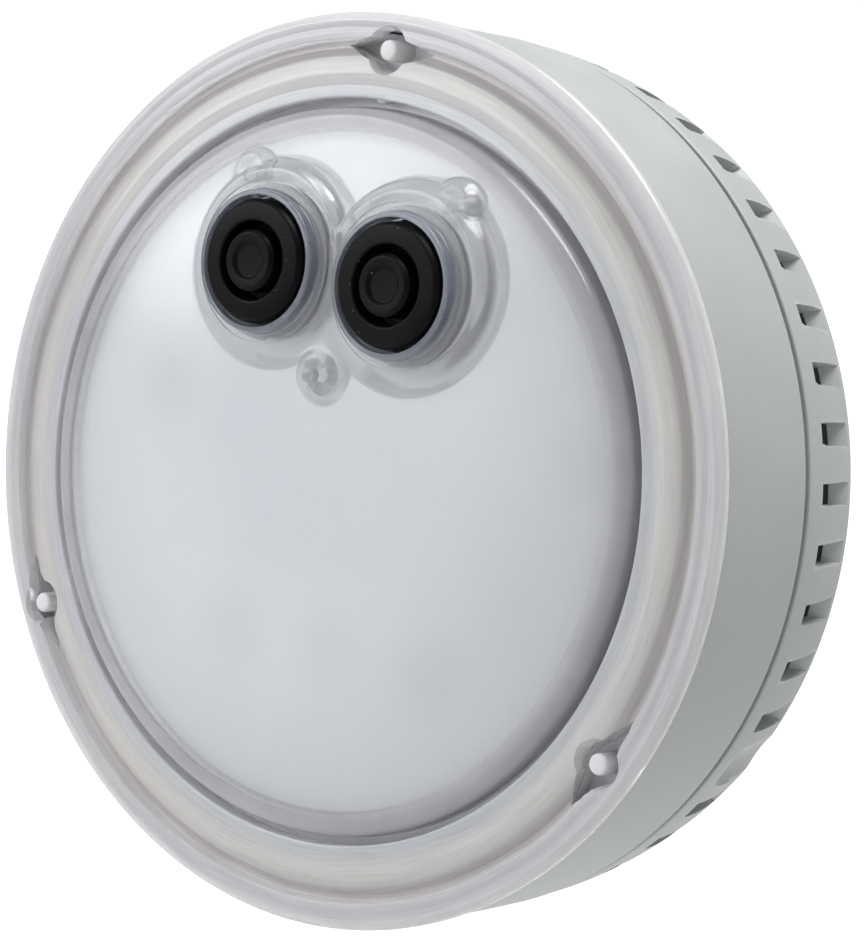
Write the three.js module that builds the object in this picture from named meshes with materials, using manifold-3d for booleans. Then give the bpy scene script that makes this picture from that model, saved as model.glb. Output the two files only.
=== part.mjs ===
// Underwater pool light: a round, battery-powered LED lamp that twists onto a slotted base ring,
// which itself screws onto a spa's wall outlet. Millimetres, +Z up. The lamp's axis is Y, its front
// faces -Y, and the origin is on the axis in the base ring's rear face, where it meets the wall.
import * as THREE from 'three';
import { mergeVertices } from 'three/addons/utils/BufferGeometryUtils.js';
import Module from 'manifold-3d';

const wasm = await Module();
wasm.setup();

// ---- Driving dimensions ----
const RING_RADIUS = 59; // clear front ring, the widest piece
const HOUSING_RADIUS = 58.7;
const BASE_RADIUS = 58.5;
const LENS_PLANE = -34.5; // where the clear ring stands on the housing
const HOUSING_REAR = -15.3; // the seam between the housing and the base ring
const BASE_FRONT = -15;
const GAP = 0.3; // between pieces that touch on the real lamp
const ROUND = 48; // facets round the large turned pieces
const INNER_ROUND = 36; // facets round the turned pieces inside them
const SMALL_ROUND = 16; // facets round the buttons
const PIN_ROUND = 10; // facets round screws and pins

const DOME_PEAK = 7.4; // lens centre, ahead of the lens plane
const DOME_RADIUS = 279; // radius of the lens's shallow dome
const LENS_THICKNESS = 2.4;
const WINDOW_RADIUS = 44.2; // where the dome turns down into the drum wall
const DRUM_RADIUS = 46.8; // the drum that stands inside the clear ring
const DRUM_INNER = 44.6;
const FLANGE_RADIUS = 56.5;

const BUTTON_X = 11;
const BUTTON_Z = 25.5;
const BUTTON_RADIUS = 8.15;
const CAP_RADIUS = 4.07;
const STEM_RADIUS = 2.2;
const BUTTON_TRAVEL = 1.2;

const PIN_CIRCLE = 54.3; // radius of the three pins that hold the clear ring
const THIRDS = [90, 210, 330]; // degrees from +X towards +Z: pins, lugs and notches
const POSTS = [[-16.5, 36.3], [16.5, 36.3], [0, 12.5]]; // x, z of the clamp plate's screw posts
const LEDS = [[-33, 8], [-16, -22], [0, -22], [16, -22], [33, 8]];

const CELL_RADIUS = 5.25; // AAA cell
const CELL_PITCH = 10.9;

// ---- Materials ----
const paint = (color, roughness, metalness = 0) => new THREE.MeshStandardMaterial({ color, roughness, metalness });
const CLEAR = paint(0xd2d5d8, 0.25);
const MILKY = paint(0xe3e7e9, 0.6);
const GREY = paint(0xabb0af, 0.5);
const BLACK_RUBBER = paint(0x161618, 0.6);
const WHITE = paint(0xf1f1ef, 0.5);
const BOARD = paint(0xe6e9e4, 0.4);
const STEEL = paint(0xb9bcbe, 0.3, 1);
const CELL = paint(0x3f6f9a, 0.35, 0.4);
const SEAL = paint(0x2b2c2e, 0.7);

// ---- Solids ----
// Y of a place given as its distance ahead of the lens plane.
const ahead = (distance) => LENS_PLANE - distance;

const radians = (degrees) => THREE.MathUtils.degToRad(degrees);

// x and z at a radius and an angle, counted from +X towards +Z.
const around = (radius, degrees) => [radius * Math.cos(radians(degrees)), radius * Math.sin(radians(degrees))];

// Closes a geometry's seams and makes its faces point out.
function solid(geometry) {
  geometry.deleteAttribute('normal');
  geometry.deleteAttribute('uv');
  const merged = mergeVertices(geometry, 1e-4);
  const p = merged.attributes.position;
  const index = Array.from(merged.index.array);
  const corner = (i) => new THREE.Vector3().fromBufferAttribute(p, index[i]);
  const kept = [];
  let volume = 0;
  for (let i = 0; i < index.length; i += 3) {
    const [a, b, c] = [index[i], index[i + 1], index[i + 2]];
    if (a === b || b === c || a === c) continue;
    volume += corner(i).dot(corner(i + 1).cross(corner(i + 2)));
    kept.push(a, b, c);
  }
  if (volume < 0) kept.reverse();
  merged.setIndex(kept);
  return merged;
}

function toManifold(geometry) {
  return new wasm.Manifold(new wasm.Mesh({
    numProp: 3,
    vertProperties: new Float32Array(geometry.attributes.position.array),
    triVerts: new Uint32Array(geometry.index.array),
  }));
}

function fromManifold(body) {
  const mesh = body.getMesh();
  const geometry = new THREE.BufferGeometry();
  geometry.setAttribute('position', new THREE.BufferAttribute(mesh.vertProperties, 3));
  geometry.setIndex(new THREE.BufferAttribute(mesh.triVerts, 1));
  return geometry;
}

const join = (...pieces) => fromManifold(pieces.map(toManifold).reduce((body, piece) => body.add(piece)));

const cut = (piece, ...tools) => fromManifold(tools.map(toManifold).reduce((body, tool) => body.subtract(tool),
  toManifold(piece)));

// A piece turned about Y from a closed outline of [radius, y] points.
function turned(outline, segments = ROUND) {
  const points = outline.map(([radius, y]) => new THREE.Vector2(radius, y));
  if (outline[0][0] > 0) points.push(points[0].clone());
  return solid(new THREE.LatheGeometry(points, segments));
}

// The same, with each point's distance ahead of the lens plane in place of y.
const turnedAhead = (outline, segments) => turned(outline.map(([radius, s]) => [radius, ahead(s)]), segments);

// A round bar along Y, centred on [x, z].
function rod(radius, front, back, [x, z] = [0, 0], segments = PIN_ROUND) {
  const bar = new THREE.CylinderGeometry(radius, radius, back - front, segments);
  return solid(bar.translate(x, (front + back) / 2, z));
}

// A flat outline in x and z, from y = front to y = back.
function plate(outline, front, back, curveSegments = 6) {
  const slab = new THREE.ExtrudeGeometry(outline, { depth: back - front, bevelEnabled: false, curveSegments });
  return solid(slab.rotateX(Math.PI / 2).translate(0, back, 0));
}

function block(width, height, front, back, [x, z] = [0, 0]) {
  const box = new THREE.BoxGeometry(width, back - front, height);
  return solid(box.translate(x, (front + back) / 2, z));
}

const turnAboutY = (geometry, degrees) => geometry.rotateY(-radians(degrees));

function roundedRectangle(width, height, corner, shape = new THREE.Shape()) {
  const [w, h] = [width / 2, height / 2];
  shape.moveTo(-w + corner, -h);
  shape.lineTo(w - corner, -h);
  shape.absarc(w - corner, -h + corner, corner, -Math.PI / 2, 0);
  shape.absarc(w - corner, h - corner, corner, 0, Math.PI / 2);
  shape.absarc(-w + corner, h - corner, corner, Math.PI / 2, Math.PI);
  shape.absarc(-w + corner, -h + corner, corner, Math.PI, Math.PI * 1.5);
  return shape;
}

// A sector of a flat ring, centred on an angle.
function ringSector(inner, outer, middle, width) {
  const [from, to] = [radians(middle - width / 2), radians(middle + width / 2)];
  const shape = new THREE.Shape();
  shape.absarc(0, 0, outer, from, to);
  shape.absarc(0, 0, inner, to, from, true);
  return shape;
}

// Points along a quarter turn, in the [radius, y] plane.
function quarter(centre, radius, from, to, steps) {
  const points = [];
  for (let i = 0; i <= steps; i += 1) {
    const angle = radians(from + ((to - from) * i) / steps);
    points.push([centre[0] + radius * Math.cos(angle), centre[1] + radius * Math.sin(angle)]);
  }
  return points;
}

// A screw along Y: its head runs from headFrom to headTo, and its shank on from there to the tip.
function screw(headRadius, headFrom, headTo, shankRadius, tip, place) {
  const head = rod(headRadius, Math.min(headFrom, headTo), Math.max(headFrom, headTo), place);
  const overlap = 0.2; // the shank starts inside the head
  const start = tip > headTo ? headTo - overlap : headTo + overlap;
  return join(head, rod(shankRadius, Math.min(start, tip), Math.max(start, tip), place, 8));
}

// A thin tube along a smooth curve through the points.
function tube(points, radius, steps, sides) {
  const path = new THREE.CatmullRomCurve3(points.map((p) => new THREE.Vector3(...p)));
  const section = new THREE.Shape();
  for (let i = 0; i < sides; i += 1) {
    const angle = (i / sides) * Math.PI * 2;
    const corner = [radius * Math.cos(angle), radius * Math.sin(angle)];
    if (i === 0) section.moveTo(...corner);
    else section.lineTo(...corner);
  }
  return solid(new THREE.ExtrudeGeometry(section, { steps, extrudePath: path }));
}

const light = new THREE.Group();

function add(name, geometry, material) {
  const mesh = new THREE.Mesh(geometry, material);
  mesh.name = name;
  light.add(mesh);
}

// ---- Base ring: slotted, screws onto the wall outlet, takes the lamp by three bayonet lugs ----
const SLOT_COUNT = 48;
const SLOT_FRONT = -11.3;
const SLOT_END = -1.8; // where a slot's ramp has risen to the wall's outside
const SLOT_WIDTH = 2.65;
const SLOT_DEPTH = 54.5; // radius that the slot cutters reach, just inside the wall
const RAMP_START = -4.9;
const NOTCH_WIDTH = 7.4;
const NOTCH_FLOOR = [[57.3, SLOT_FRONT], [56.3, -6], [55.9, 0.5]];
const WALL_CURVE = 46; // radius of the wall's outward curve, which draws it in towards the rear
const BASE_WALL_INNER = 55.5;
const REAR_WALL_FRONT = -3.5;
const THREAD_ROOT = 42.2;
const THREAD_CREST = 41;
const THREAD_TURNS = [-2.4, -6.2]; // the two turns of thread that the outlet screws into
const COLLAR_RADIUS = 45.2;
const COLLAR_FRONT = -9;
const TWIST = 26; // degrees from locked to free

const wallAt = (y) => BASE_RADIUS - (y - BASE_FRONT - 0.4) ** 2 / (2 * WALL_CURVE);

// A cutter of the given width on the +X side, from its side view in [radius, y].
function sideCutter(outline, width) {
  const side = new THREE.Shape(outline.map(([radius, y]) => new THREE.Vector2(radius, y)));
  const wedge = new THREE.ExtrudeGeometry(side, { depth: width, bevelEnabled: false });
  return solid(wedge.translate(0, 0, -width / 2));
}

function baseRing() {
  const bayonetLip = [[BASE_WALL_INNER, -13], [52, -13], [52, BASE_FRONT]];
  const wall = [BASE_FRONT + 0.4, -11, -7.5, -4, -1].map((y) => [wallAt(y), y]);
  const clear = RING_RADIUS + 2; // outside everything
  const gasketGroove = [[51.5, 0], [51.5, -1.5], [46.8, -1.5], [46.8, 0]];
  const thread = THREAD_TURNS.flatMap((y) => [[THREAD_ROOT, y + 1.2], [THREAD_CREST, y], [THREAD_ROOT, y - 1.2]]);
  const outline = [
    ...bayonetLip, [BASE_RADIUS - 0.4, BASE_FRONT], ...wall, [wallAt(-1) - 1, 0],
    ...gasketGroove, [THREAD_ROOT, 0], ...thread, [THREAD_ROOT, COLLAR_FRONT], [COLLAR_RADIUS, COLLAR_FRONT],
    [COLLAR_RADIUS, REAR_WALL_FRONT], [BASE_WALL_INNER, REAR_WALL_FRONT],
  ];
  const tools = [];
  for (const angle of THIRDS) {
    tools.push(plate(ringSector(50, BASE_WALL_INNER, angle + TWIST, 24), BASE_FRONT - 0.5, -12.8, 4));
    // Finger notch, open to the rear, in place of the slot above each lug.
    const scoop = [[clear, SLOT_FRONT], ...NOTCH_FLOOR, [clear, 0.5]];
    tools.push(turnAboutY(sideCutter(scoop, NOTCH_WIDTH), angle));
  }
  // Drain slot: a hole through the wall, with a ramp that rises to the outside behind it.
  const slot = [[clear, SLOT_FRONT], [SLOT_DEPTH, SLOT_FRONT], [SLOT_DEPTH, RAMP_START],
    [BASE_WALL_INNER, RAMP_START], [wallAt(SLOT_END) + 0.1, SLOT_END], [clear, SLOT_END]];
  for (let i = 0; i < SLOT_COUNT; i += 1) {
    const angle = (i * 360) / SLOT_COUNT;
    if (THIRDS.includes(angle)) continue;
    tools.push(turnAboutY(sideCutter(slot, SLOT_WIDTH), angle));
  }
  // Half a facet round, so that each slot opens in the middle of a facet.
  return cut(turnAboutY(turned(outline), 180 / ROUND), ...tools);
}
add('base_ring', baseRing(), GREY);
add('base_gasket', turned([[47.1, -1.2], [51.2, -1.2], [51.2, -0.2], [47.1, -0.2]], INNER_ROUND), SEAL);

// ---- Main housing: grey cup wall with the ledge that the lens and its seal sit on ----
const FLANGE_POCKET = 56.8; // bore that takes the lens flange
const LEDGE_INNER = 50;
const LEDGE_FRONT = ahead(-3.3);
const LEDGE_BACK = ahead(-6.8);
const HOUSING_BORE = 56;
const SEAL_GROOVE_DEPTH = 1.9;
add('main_housing', turned([
  [HOUSING_RADIUS, LENS_PLANE + GAP], [HOUSING_RADIUS, HOUSING_REAR], [HOUSING_BORE, HOUSING_REAR],
  [HOUSING_BORE, LEDGE_BACK], [LEDGE_INNER, LEDGE_BACK], [LEDGE_INNER, LEDGE_FRONT], [51.6, LEDGE_FRONT],
  [51.6, LEDGE_FRONT + SEAL_GROOVE_DEPTH], [54.4, LEDGE_FRONT + SEAL_GROOVE_DEPTH], [54.4, LEDGE_FRONT],
  [FLANGE_POCKET, LEDGE_FRONT], [FLANGE_POCKET, LENS_PLANE + GAP],
]), GREY);

// O-ring under the lens flange.
const SEAL_RADIUS = 0.85;
const sealRound = Array.from({ length: 5 }, (_, i) => {
  const angle = radians(i * 72);
  return [53 + SEAL_RADIUS * Math.cos(angle), ahead(-4.05) + SEAL_RADIUS * Math.sin(angle)];
});
add('lens_seal', turned(sealRound, INNER_ROUND), SEAL);

// ---- Rear housing: back plate, bayonet skirt and lugs, and the battery drum ----
const BACK_PLATE_FRONT = -17.8;
const SKIRT_REAR = -10.4;
const DRUM_REAR = -5.5; // the face that the battery cover closes on
const BAY_FLOOR = -17.3;
const BAY_WIDTH = 50.6;
const BAY_HEIGHT = 33.6;
const BOARD_BACK = ahead(-11.5);
const BOARD_POSTS = [30, 150, 270].map((angle) => around(44, angle));
const COVER_SCREWS = [70, 110, 250, 290].map((angle) => around(31, angle));

const sealBand = (grow) => {
  const band = roundedRectangle(55.6 - grow, 38.6 - grow, 4.5);
  band.holes.push(roundedRectangle(52.6 + grow, 35.6 + grow, 3, new THREE.Path()));
  return band;
};

function rearHousing() {
  const shell = turned([
    [0, -8], [32, -8], [32, BACK_PLATE_FRONT], [55.7, BACK_PLATE_FRONT], [55.7, HOUSING_REAR],
    [50.5, HOUSING_REAR], [50.5, SKIRT_REAR], [48, SKIRT_REAR], [48, HOUSING_REAR], [34.5, HOUSING_REAR],
    [34.5, DRUM_REAR], [0, DRUM_REAR],
  ], INNER_ROUND);
  const bayWalls = block(54, 37, BAY_FLOOR - 2, DRUM_REAR);
  const lugs = THIRDS.map((angle) => plate(ringSector(50, 54.6, angle, 20), -12.6, SKIRT_REAR, 4));
  const posts = BOARD_POSTS.map((place) => rod(2.6, BOARD_BACK + GAP, BACK_PLATE_FRONT + 0.3, place));
  const bosses = COVER_SCREWS.map((place) => rod(2.6, -14, -6, place));
  return cut(
    join(shell, bayWalls, ...lugs, ...posts, ...bosses),
    block(BAY_WIDTH, BAY_HEIGHT, BAY_FLOOR, 0),
    plate(sealBand(0), DRUM_REAR - 1, DRUM_REAR + 0.5, 3),
    ...BOARD_POSTS.map((place) => rod(1.3, BOARD_BACK, -18.5, place, 8)),
    ...COVER_SCREWS.map((place) => rod(1.45, -13, 0, place, 8)),
  );
}
add('rear_housing', rearHousing(), GREY);

// ---- Battery cover, its seal and its four screws ----
const COVER_FRONT = -5.2;
const COVER_REAR = -2.8;
function batteryCover() {
  const disc = turned([[0, COVER_FRONT], [34.2, COVER_FRONT], [34.2, COVER_REAR - 0.6], [33.6, COVER_REAR],
    [0, COVER_REAR]], INNER_ROUND);
  const grips = [-5, 5].map((z) => block(30, 3, COVER_REAR - 0.3, -1.2, [0, z]));
  const holes = COVER_SCREWS.flatMap((place) => [
    rod(2.7, COVER_REAR - 1.3, 0, place),
    rod(1.5, COVER_FRONT - 1, 0, place, 8),
  ]);
  return cut(join(disc, ...grips), ...holes);
}
add('battery_cover', batteryCover(), GREY);
add('battery_cover_seal', plate(sealBand(0.6), DRUM_REAR - 0.7, DRUM_REAR, 3), SEAL);
COVER_SCREWS.forEach((place, i) => {
  add(`battery_cover_screw_${i + 1}`, screw(2.3, -2.9, -3.8, 1.1, -10, place), STEEL);
});

// ---- Three AAA cells, side by side, each with a spring on its flat end ----
const BAY_END = 25.3;
const STRIP = 0.4;
const CELL_Y = BAY_FLOOR + 0.4 + CELL_RADIUS;
const SPRING_TURNS = 3.5;

function springCurve(direction, z) {
  const points = [];
  const steps = 28;
  for (let i = 0; i <= steps; i += 1) {
    const t = i / steps;
    const radius = 3.4 - 1.2 * t;
    const angle = t * SPRING_TURNS * Math.PI * 2;
    const x = -24.2 + 3.5 * t;
    points.push([x * direction, CELL_Y + radius * Math.cos(angle), z + radius * Math.sin(angle)]);
  }
  return points;
}

for (let i = 0; i < 3; i += 1) {
  const z = (i - 1) * CELL_PITCH;
  const direction = i === 1 ? -1 : 1; // the middle cell lies the other way round
  const outline = [[0, -20], [CELL_RADIUS, -20], [CELL_RADIUS, 23.3], [1.9, 23.3], [1.9, 24.3], [0, 24.3]];
  const body = turned(outline, 12).rotateZ((-Math.PI / 2) * direction).translate(0, CELL_Y, z);
  add(`battery_${i + 1}`, body, CELL);
  add(`contact_spring_${i + 1}`, tube(springCurve(direction, z), 0.35, 28, 4), STEEL);
}
['left', 'right'].forEach((side, i) => {
  const strip = new THREE.BoxGeometry(STRIP, 8, 2 * CELL_PITCH + 8);
  const x = (i === 0 ? -1 : 1) * (BAY_END - GAP - STRIP / 2);
  add(`contact_strip_${side}`, solid(strip.translate(x, CELL_Y, 0)), STEEL);
});

// ---- LED board, its screws, the five lamps and the reflector in front of it ----
const BOARD_FRONT = ahead(-9.9);
const REFLECTOR_BACK = -6.8; // ahead of the lens plane
const REFLECTOR_FRONT = -5.6;
const boardOutline = [[0, BOARD_FRONT], [47.5, BOARD_FRONT], [47.5, BOARD_BACK], [0, BOARD_BACK]];
add('led_board', cut(turned(boardOutline, INNER_ROUND),
  ...BOARD_POSTS.map((place) => rod(1.3, BOARD_FRONT - 1, BOARD_BACK + 1, place, 8))), BOARD);
BOARD_POSTS.forEach((place, i) => {
  add(`led_board_screw_${i + 1}`, screw(2.3, BOARD_FRONT - 1.6, BOARD_FRONT - GAP, 0.95, -19, place), STEEL);
});

LEDS.forEach(([x, z], i) => {
  const dome = quarter([0, -5.7], 2.5, 0, 90, 3);
  const lamp = turnedAhead([[0, -9.6], [2.9, -9.6], [2.9, -8.6], [2.5, -8.6], ...dome], 12);
  add(`led_${i + 1}`, lamp.translate(x, 0, z), WHITE);
});

function reflector() {
  const dish = turnedAhead([[0, REFLECTOR_BACK], [46, REFLECTOR_BACK], [46, -4.1], [45, -4.1],
    [43.5, REFLECTOR_FRONT], [0, REFLECTOR_FRONT]], INNER_ROUND);
  const legs = [[-36, -16], [36, -16], [0, -36]].map((place) => rod(2, ahead(REFLECTOR_BACK) - 0.5,
    ahead(-9.6), place));
  const holes = LEDS.map((place) => rod(3.3, ahead(-3), ahead(-8), place, 12));
  const opening = block(40, 26, ahead(-3), ahead(-8), [0, BUTTON_Z]);
  return cut(join(dish, ...legs), ...holes, opening);
}
add('reflector', reflector(), WHITE);

// ---- Diffuser: milky dome inside the lens, cut away round the buttons ----
const DIFFUSER_RADIUS = 43.6;
const domeAt = (radius) => DOME_PEAK - radius ** 2 / (2 * DOME_RADIUS);
const domePoints = (radii, depth) => radii.map((radius) => [radius, domeAt(radius) - depth]);

// The patch round both buttons and the three posts, grown by a margin.
function buttonPatch(front, back, buttonRadius, topPost, lowPost) {
  const neck = new THREE.Shape();
  neck.moveTo(-BUTTON_X, BUTTON_Z);
  neck.lineTo(-lowPost, POSTS[2][1]);
  neck.lineTo(lowPost, POSTS[2][1]);
  neck.lineTo(BUTTON_X, BUTTON_Z);
  return join(
    plate(neck, front, back),
    rod(buttonRadius, front, back, [-BUTTON_X, BUTTON_Z], 24),
    rod(buttonRadius, front, back, [BUTTON_X, BUTTON_Z], 24),
    rod(topPost, front, back, POSTS[0], 12),
    rod(topPost, front, back, POSTS[1], 12),
    rod(lowPost, front, back, POSTS[2], 12),
  );
}

function diffuser() {
  const outline = [
    ...domePoints([0, 16, 31, DIFFUSER_RADIUS], LENS_THICKNESS + 0.4), [DIFFUSER_RADIUS, -5.2],
    [42.7, -5.2], ...domePoints([42.7, 27, 0], LENS_THICKNESS + 1.6),
  ];
  return cut(turnedAhead(outline, INNER_ROUND), buttonPatch(ahead(8), ahead(-0.3), 14, 3, 4));
}
add('diffuser', diffuser(), MILKY);

// ---- Lens: clear drum with a shallow dome, a button boss, screw posts and three ring pins ----
const BOSS_FRONT = 7.4;
const RIM_RADIUS = 9.2; // clear rim round each button's hole
const RIM_FRONT = 9.1;
const PIN_RADIUS = 1.35;

// A low round boss with its front edge taken off.
function puck(radius, back, front, chamfer, [x, z], segments) {
  const outline = [[0, back], [radius, back], [radius, front - chamfer], [radius - chamfer, front], [0, front]];
  return turnedAhead(outline, segments).translate(x, 0, z);
}

function lens() {
  const shoulder = quarter([WINDOW_RADIUS, domeAt(WINDOW_RADIUS) - 2.6], 2.6, 90, 0, 3);
  const outline = [
    ...domePoints([0, 16, 31], 0), ...shoulder, [DRUM_RADIUS, -GAP], [FLANGE_RADIUS, -GAP],
    [FLANGE_RADIUS, -2.8], [DRUM_INNER, -2.8], [DRUM_INNER, 0.6],
    ...domePoints([43.8, 27, 0], LENS_THICKNESS),
  ];
  const buttons = [[-BUTTON_X, BUTTON_Z], [BUTTON_X, BUTTON_Z]];
  const additions = [
    ...buttons.map((place) => puck(13.2, 3, BOSS_FRONT, 0.9, place, 24)),
    ...buttons.map((place) => puck(RIM_RADIUS, 5, RIM_FRONT, 0.3, place, 24)),
    ...POSTS.map((place) => rod(2.4, ahead(5), ahead(2), place, 12)),
    puck(3.3, 2.6, 6.2, 0.6, POSTS[0], 12),
    puck(3.3, 2.6, 6.2, 0.6, POSTS[1], 12),
    puck(3, 5, 7.6, 0.3, POSTS[2], 12),
    puck(0.85, 6, 9.1, 0.2, POSTS[2], 8), // moulding gate
    ...THIRDS.map((angle) => rod(PIN_RADIUS, ahead(1.5), ahead(-1), around(PIN_CIRCLE, angle), 12)),
  ];
  const holes = [
    ...buttons.map((place) => rod(8.5, ahead(RIM_FRONT + 1), ahead(2), place, 24)),
    ...buttons.map((place) => rod(10.15, ahead(4.4), ahead(0), place, 24)),
    ...POSTS.map((place) => rod(1.15, ahead(5.2), ahead(1), place, 8)),
  ];
  return cut(join(turnedAhead(outline), ...additions), ...holes);
}
add('front_lens', lens(), CLEAR);

// ---- Clear retaining ring: grooved, held by the lens's three pins, with a gate pip inside ----
const POCKET_RADIUS = 2.8;
const EYE_REACH = 7;
const EYE_HEIGHT = 3.6;
function retainingRing() {
  const outline = [
    [48, 0], [48, 1.8], [48.4, 2.2], [51.4, 2.1], [53.2, 1.7], [54.3, 0.8], [55.1, 0.8], [55.6, 1.9], [57.4, 1.9],
    [58.5, 1.4], [RING_RADIUS, 0.6], [RING_RADIUS, 0],
  ];
  const pip = rod(1.2, ahead(1.7), ahead(0.1), [0, 48.7], 12);
  const eye = new THREE.Shape(); // the pin's pocket, drawn out into two points along the groove
  eye.moveTo(-EYE_REACH, 0);
  eye.quadraticCurveTo(0, EYE_HEIGHT, EYE_REACH, 0);
  eye.quadraticCurveTo(0, -EYE_HEIGHT, -EYE_REACH, 0);
  const pockets = THIRDS.flatMap((angle) => [
    rod(POCKET_RADIUS, ahead(3), ahead(-1), around(PIN_CIRCLE, angle), 16),
    turnAboutY(plate(eye, ahead(3), ahead(-1), 4).translate(0, 0, PIN_CIRCLE), angle - 90),
  ]);
  return cut(join(turnedAhead(outline), pip), ...pockets);
}
add('retaining_ring', retainingRing(), CLEAR);

// ---- Buttons: rubber boot in the lens, cap and stem that press a switch behind it ----
const SWITCH_FRONT = -1.4;
const SWITCH_BACK = -4.9;
const PLUNGER_RADIUS = 1.75;
const SWITCH_SIDE = 6.2;
for (const [name, side] of [['power', -1], ['color', 1]]) {
  const [x, z] = [side * BUTTON_X, BUTTON_Z];
  const boot = turnedAhead([
    [5.15, 9.8], [7.3, 9.45], [7.95, 9.1], [BUTTON_RADIUS, 8.6], [BUTTON_RADIUS, 4.1], [9.8, 4.1], [9.8, 2],
    [4.6, 2], [4.6, 5], [2.6, 5], [2.6, 5.8], [5.15, 5.8],
  ], SMALL_ROUND);
  add(`${name}_button_boot`, boot.translate(x, 0, z), BLACK_RUBBER);

  const cap = turnedAhead([
    [0, 9.95], [2.1, 9.95], [2.5, 10.35], [3.6, 10.4], [CAP_RADIUS, 9.9], [CAP_RADIUS, 7.4], [STEM_RADIUS, 7.4],
    [STEM_RADIUS, 0.4], [0, 0.4],
  ], SMALL_ROUND);
  add(`${name}_button_cap`, cap.translate(x, 0, z), BLACK_RUBBER);

  const well = rod(PLUNGER_RADIUS + GAP, ahead(0), ahead(SWITCH_BACK + 0.5), [x, z], 12);
  const switchBody = block(SWITCH_SIDE, SWITCH_SIDE, ahead(SWITCH_FRONT), ahead(SWITCH_BACK), [x, z]);
  add(`${name}_switch`, cut(switchBody, well), BLACK_RUBBER);
  const plungerBack = SWITCH_BACK + 0.5 + BUTTON_TRAVEL + 0.4;
  add(`${name}_switch_plunger`, rod(PLUNGER_RADIUS, ahead(0.1), ahead(plungerBack), [x, z], 12), WHITE);
}

// ---- Clamp plate that holds the boots, its three screws, and the switch board under it ----
const PLATE_FRONT = 1.7;
const PLATE_BACK = 0.2;
const STANDOFFS = [[0, 34], [0, 17]];
function clampPlate() {
  const base = buttonPatch(ahead(PLATE_FRONT), ahead(PLATE_BACK), 12.4, 2.4, 3.2);
  const standoffs = STANDOFFS.map((place) => rod(1.9, ahead(PLATE_BACK) - 0.5, ahead(SWITCH_BACK), place));
  const holes = [-BUTTON_X, BUTTON_X].map((x) => rod(STEM_RADIUS + 0.4, ahead(3), ahead(-1), [x, BUTTON_Z], 12));
  return cut(
    join(base, ...standoffs), ...holes,
    ...POSTS.map((place) => rod(1.15, ahead(3), ahead(-1), place, 8)),
    ...STANDOFFS.map((place) => rod(1.1, ahead(-1.7), ahead(-6), place, 8)),
  );
}
add('button_clamp_plate', clampPlate(), WHITE);
POSTS.forEach((place, i) => {
  add(`clamp_plate_screw_${i + 1}`, screw(1.9, ahead(-1.3), ahead(PLATE_BACK - GAP), 0.85, ahead(4.9), place), STEEL);
});

const SWITCH_BOARD_FRONT = SWITCH_BACK - GAP;
const SWITCH_BOARD_BACK = SWITCH_BOARD_FRONT - 1.6;
add('switch_board', cut(
  block(36, 22, ahead(SWITCH_BOARD_FRONT), ahead(SWITCH_BOARD_BACK), [0, BUTTON_Z]),
  ...STANDOFFS.map((place) => rod(1.1, ahead(0), ahead(-9), place, 8)),
), BOARD);
STANDOFFS.forEach((place, i) => {
  const under = SWITCH_BOARD_BACK - GAP;
  add(`switch_board_screw_${i + 1}`, screw(1.7, ahead(under - 1.2), ahead(under), 0.8, ahead(-2), place), STEEL);
});

// ---- Leads: two from the battery bay to the LED board, one from there to the switch board ----
const LEAD_RADIUS = 0.6;
const leadFrom = BAY_FLOOR - 2 - GAP - LEAD_RADIUS;
const LEAD_CLEARANCE = 0.5; // a lead ends just short of its board's face
const leadTo = BOARD_BACK + LEAD_CLEARANCE;
[['red', -1], ['black', 1]].forEach(([colour, side]) => {
  const route = [[20, leadFrom, 6], [26, leadFrom, 7], [32, leadFrom - 0.4, 9], [35.5, -21.2, 11.5],
    [36, -21.8, 12], [36, leadTo, 12]];
  const lead = tube(route.map(([x, y, z]) => [side * x, y, z]), LEAD_RADIUS, 12, 6);
  add(`battery_lead_${colour}`, lead, colour === 'red' ? paint(0xa02020, 0.5) : BLACK_RUBBER);
});
const ribbonFrom = ahead(SWITCH_BOARD_BACK) + LEAD_CLEARANCE;
const ribbonTo = BOARD_FRONT - LEAD_CLEARANCE;
const ribbon = tube([[-14, ribbonFrom, 20], [-14, ribbonFrom + 0.4, 19.9], [-14, ribbonTo - 0.4, 16.1],
  [-14, ribbonTo, 16]], LEAD_RADIUS, 10, 6);
add('switch_lead', ribbon, WHITE);

export default light;
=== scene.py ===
from math import atan2, cos, hypot, pi, radians, sin, sqrt, tan

import bmesh
import bpy
from mathutils import Matrix, Vector


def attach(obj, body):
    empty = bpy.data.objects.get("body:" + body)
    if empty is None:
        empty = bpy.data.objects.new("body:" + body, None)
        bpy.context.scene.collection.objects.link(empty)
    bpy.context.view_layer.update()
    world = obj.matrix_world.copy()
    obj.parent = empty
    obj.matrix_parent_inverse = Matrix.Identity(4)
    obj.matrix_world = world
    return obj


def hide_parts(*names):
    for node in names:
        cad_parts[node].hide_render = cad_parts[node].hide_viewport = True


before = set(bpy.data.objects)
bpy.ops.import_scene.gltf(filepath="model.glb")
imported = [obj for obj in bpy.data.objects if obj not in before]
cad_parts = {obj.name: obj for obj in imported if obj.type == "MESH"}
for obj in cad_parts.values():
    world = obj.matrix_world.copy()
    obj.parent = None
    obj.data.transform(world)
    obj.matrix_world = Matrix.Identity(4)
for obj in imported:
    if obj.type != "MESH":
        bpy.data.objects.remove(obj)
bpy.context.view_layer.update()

# ---- Studio: a white room with a pale floor far below, because the light is held by a wall ----
# The light's axis is Y and its lens faces -Y. Room and floor are white to the camera and dimmer to
# the light's own surfaces. One soft box hangs above and a wider one stands to the left.
EYE = Vector((0.23462, -0.33321, 0.04554))
RIGHT = Vector((0.78785611, 0.59936631, 0.1415725))
UP = Vector((-0.18213275, 0.00716348, 0.98324786))
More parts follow.
